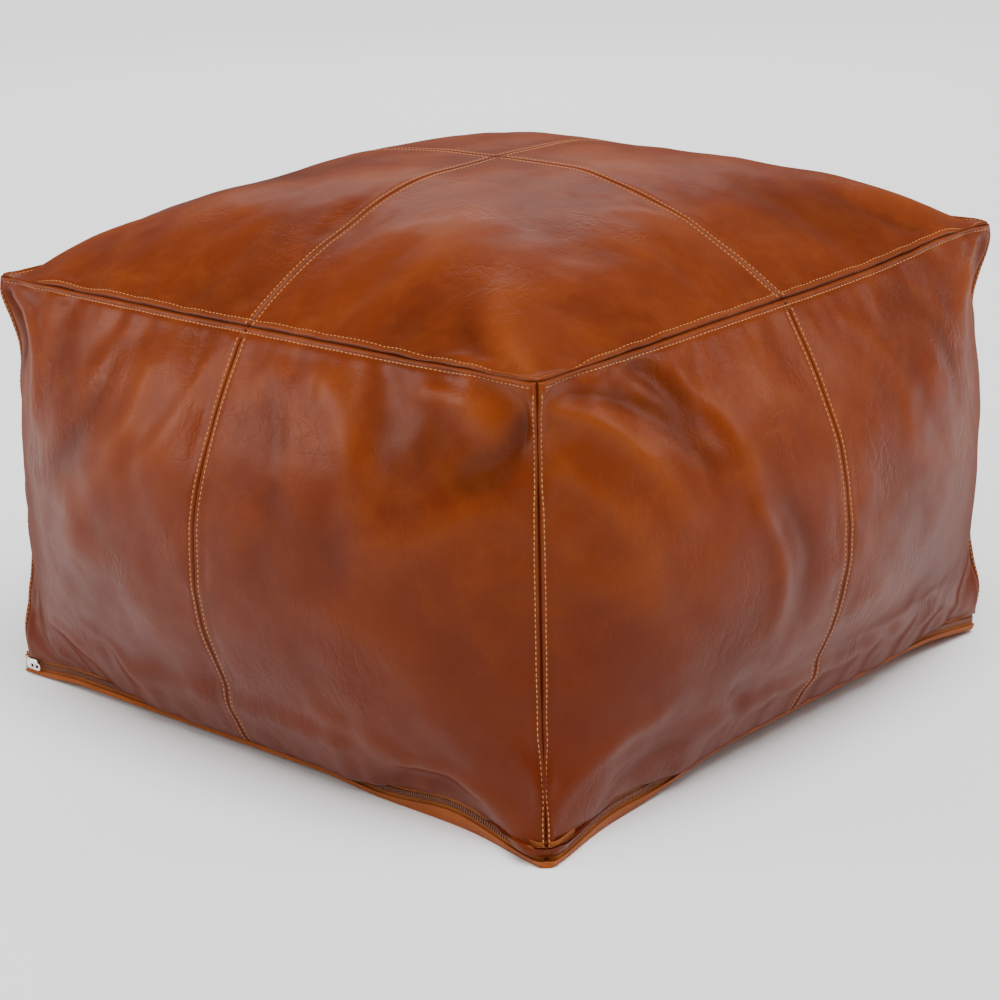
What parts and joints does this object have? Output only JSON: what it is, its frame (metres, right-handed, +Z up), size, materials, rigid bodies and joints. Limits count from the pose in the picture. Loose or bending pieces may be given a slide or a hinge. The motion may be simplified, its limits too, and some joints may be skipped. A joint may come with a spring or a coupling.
{
  "type": "leather floor pouf",
  "caption": "Square stuffed leather floor pouf with paneled, topstitched cover, cotton-bag insert and a zipped base flap; used as a footstool, seat or low table.",
  "frame": {"origin": "centre of the base on the floor", "axes": "+Z up; -Y is the front side, where the zip slider is parked at its left corner; +X is the right side; the base flap is hinged along the left side"},
  "size_m": [0.7182, 0.7182, 0.431],
  "materials": {
    "leather": "glazed cognac leather, semi-gloss",
    "base_suede": "tan suede split, matte",
    "zip_tape": "woven tape, matte",
    "zip_coil": "nylon coil, satin",
    "slider_metal": "polished nickel plate",
    "stop_metal": "satin",
    "thread": "golden tan sewing thread",
    "cotton": "plain unbleached cotton",
    "filling": "loose white fibre"
  },
  "bodies": {
    "cover": {"top_panel_front_left": "leather", "top_panel_back_left": "leather", "top_panel_front_right": "leather", "top_panel_back_right": "leather", "front_panel_left": "leather", "front_panel_right": "leather", "right_panel_front": "leather", "right_panel_back": "leather", "back_panel_right": "leather", "back_panel_left": "leather", "left_panel_back": "leather", "left_panel_front": "leather", "hinge_band": "leather", "upper_zip_tape": "zip_tape", "upper_zip_coil": "zip_coil", "zip_top_stop": "stop_metal", "zip_bottom_stop": "stop_metal", "top_cross_stitching": "thread", "side_middle_stitching": "thread", "corner_stitching": "thread", "top_edge_stitching": "thread", "top_rim_stitching": "thread", "base_hem_stitching": "thread", "insert_bottom_panel": "cotton", "insert_front_panel": "cotton", "insert_right_panel": "cotton", "insert_back_panel": "cotton", "insert_left_panel": "cotton", "insert_top_panel": "cotton", "insert_filling": "filling"},
    "slider": {"zip_slider": "slider_metal"},
    "pull": {"zip_pull": "slider_metal"},
    "base_flap": {"base_panel": "base_suede", "lower_zip_tape": "zip_tape", "lower_zip_coil": "zip_coil"}
  },
  "joints": [
    {"name": "zip_travel", "type": "slide", "parent": "cover", "child": "slider", "axis": [1, 0, 0], "range_m": [0, 0.565]},
    {"name": "pull_swing", "type": "hinge", "parent": "slider", "child": "pull", "pos_m": [-0.288, -0.3024, 0.0103], "axis": [0, 0, -1], "range_deg": [0, 180]},
    {"name": "base_flap_opening", "type": "hinge", "parent": "cover", "child": "base_flap", "pos_m": [-0.2988, 0, 0.0012], "axis": [0, 1, 0], "range_deg": [0, 175]}
  ]
}
